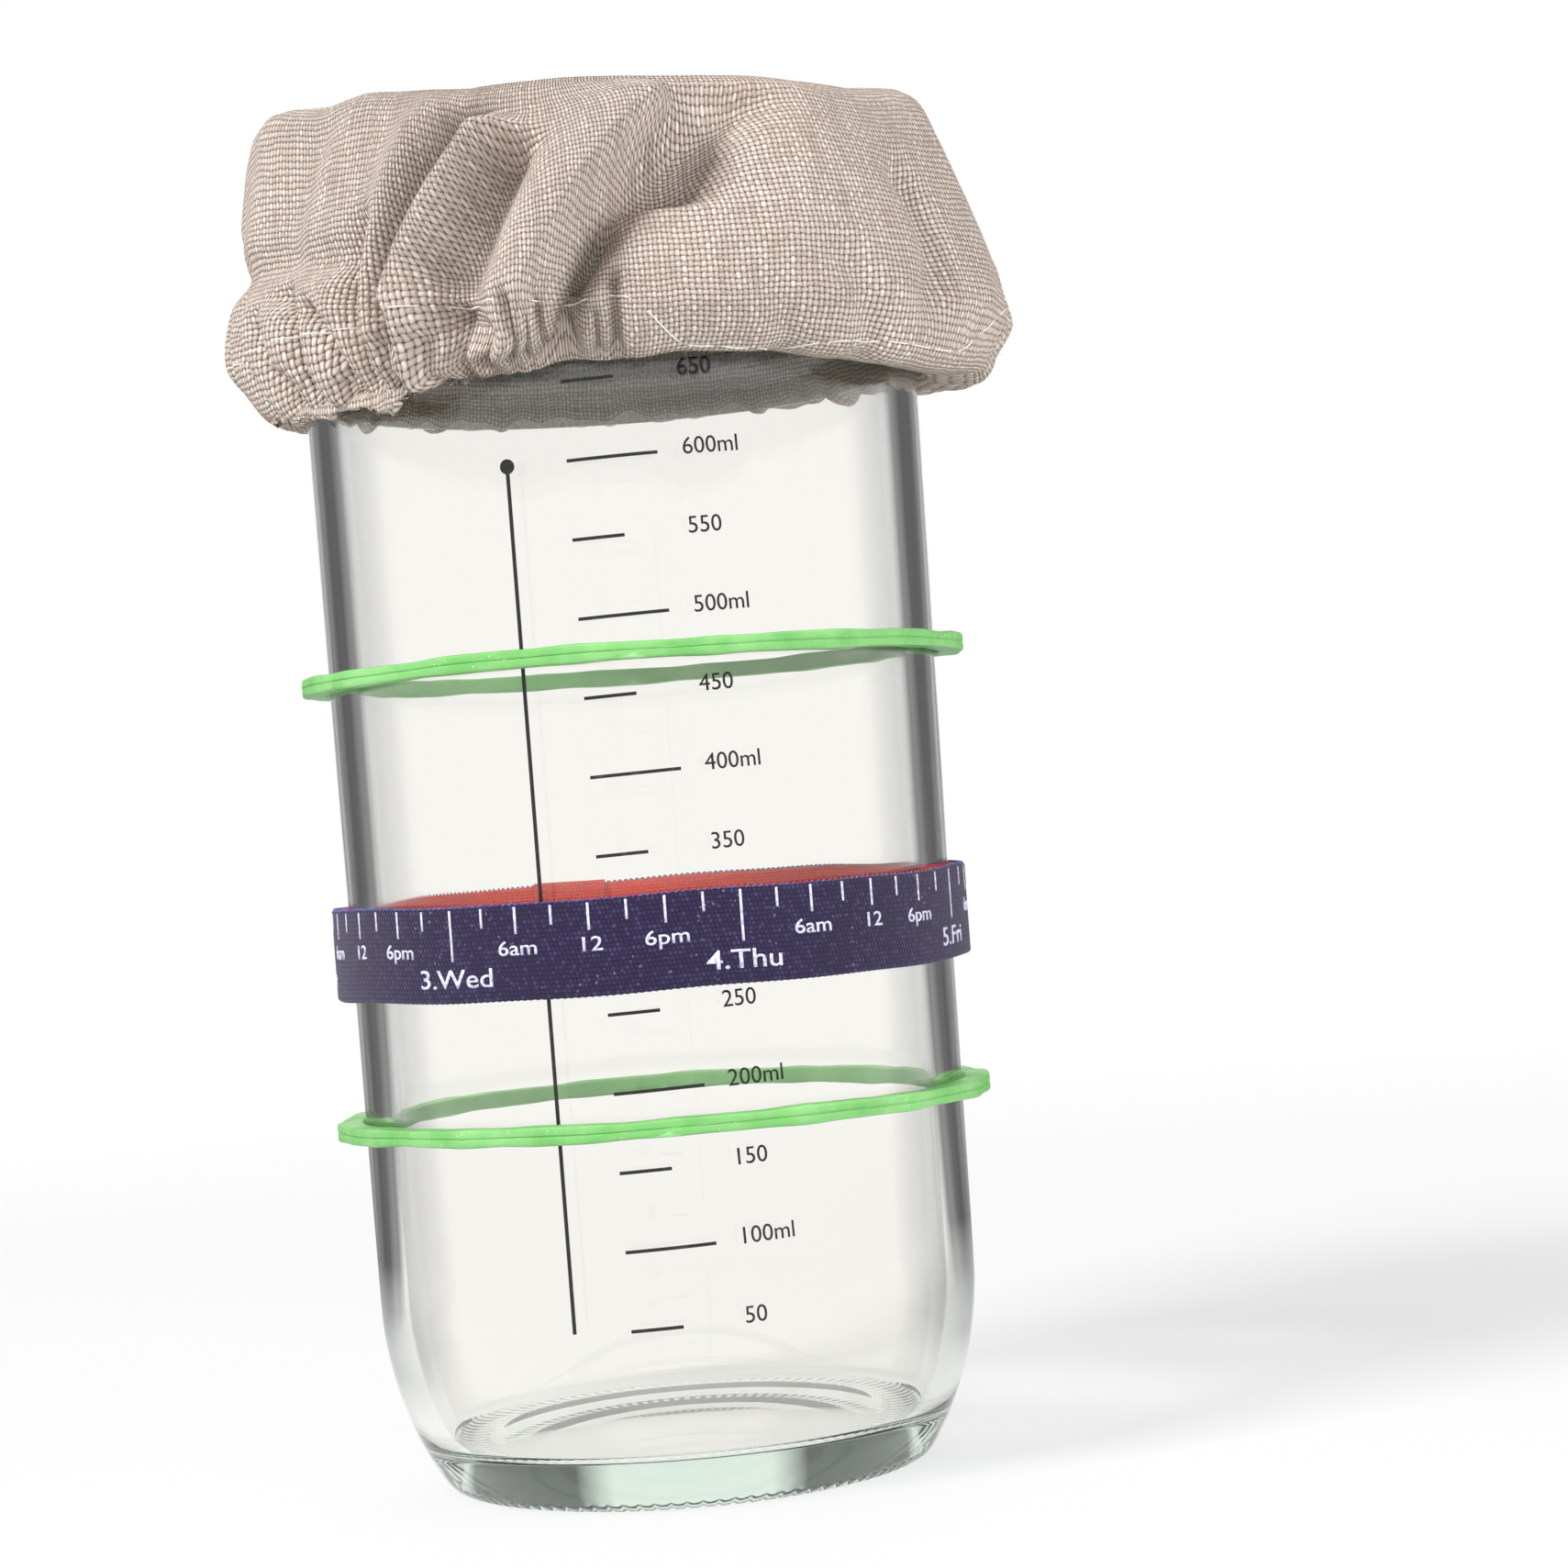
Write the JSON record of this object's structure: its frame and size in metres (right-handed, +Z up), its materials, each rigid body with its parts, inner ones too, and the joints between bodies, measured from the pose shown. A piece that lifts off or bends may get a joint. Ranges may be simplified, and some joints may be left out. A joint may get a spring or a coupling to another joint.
{
  "type": "sourdough starter jar",
  "caption": "Tall straight-sided glass jar for a sourdough starter, with an elasticated cloth cover, a turning day band, sliding level rings and a printed volume scale.",
  "frame": {"origin": "on the jar's axis at the level of the surface that it stands on", "axes": "+Z up along the jar's axis, -Y towards the viewer of the printed scale, +X to that viewer's right"},
  "size_m": [0.1113, 0.1114, 0.1902],
  "materials": {
    "glass": "clear, polished",
    "print": "fired black ink",
    "cover_linen": "plain weave, undyed linen",
    "elastic": "woven elastic",
    "white_thread": "sewing thread",
    "band_navy": "twill weave ribbon",
    "band_red": "ribbed weave ribbon",
    "ring_rubber": "satin, dusted"
  },
  "bodies": {
    "jar": {"glass_jar": "glass", "volume_scale": "print", "feed_line": "print"},
    "cover": {"cloth_cover": "cover_linen", "cover_elastic": "elastic", "hem_stitching": "white_thread"},
    "band": {"day_band": "band_navy", "band_lining": "band_red", "band_lap": "band_red", "lap_stitching": "white_thread"},
    "upper_ring": {"level_ring_upper": "ring_rubber"},
    "lower_ring": {"level_ring_lower": "ring_rubber"}
  },
  "joints": [
    {"name": "cover_lift", "type": "slide", "parent": "jar", "child": "cover", "axis": [0, 0, 1], "range_m": [0, 0.1]},
    {"name": "day_band_turn", "type": "hinge", "parent": "jar", "child": "band", "pos_m": [0, 0, 0.0763], "axis": [0, 0, 1], "continuous": true},
    {"name": "upper_ring_slide", "type": "slide", "parent": "jar", "child": "upper_ring", "axis": [0, 0, 1], "range_m": [-0.029, 0.035]},
    {"name": "lower_ring_slide", "type": "slide", "parent": "jar", "child": "lower_ring", "axis": [0, 0, 1], "range_m": [-0.02, 0.016]}
  ]
}
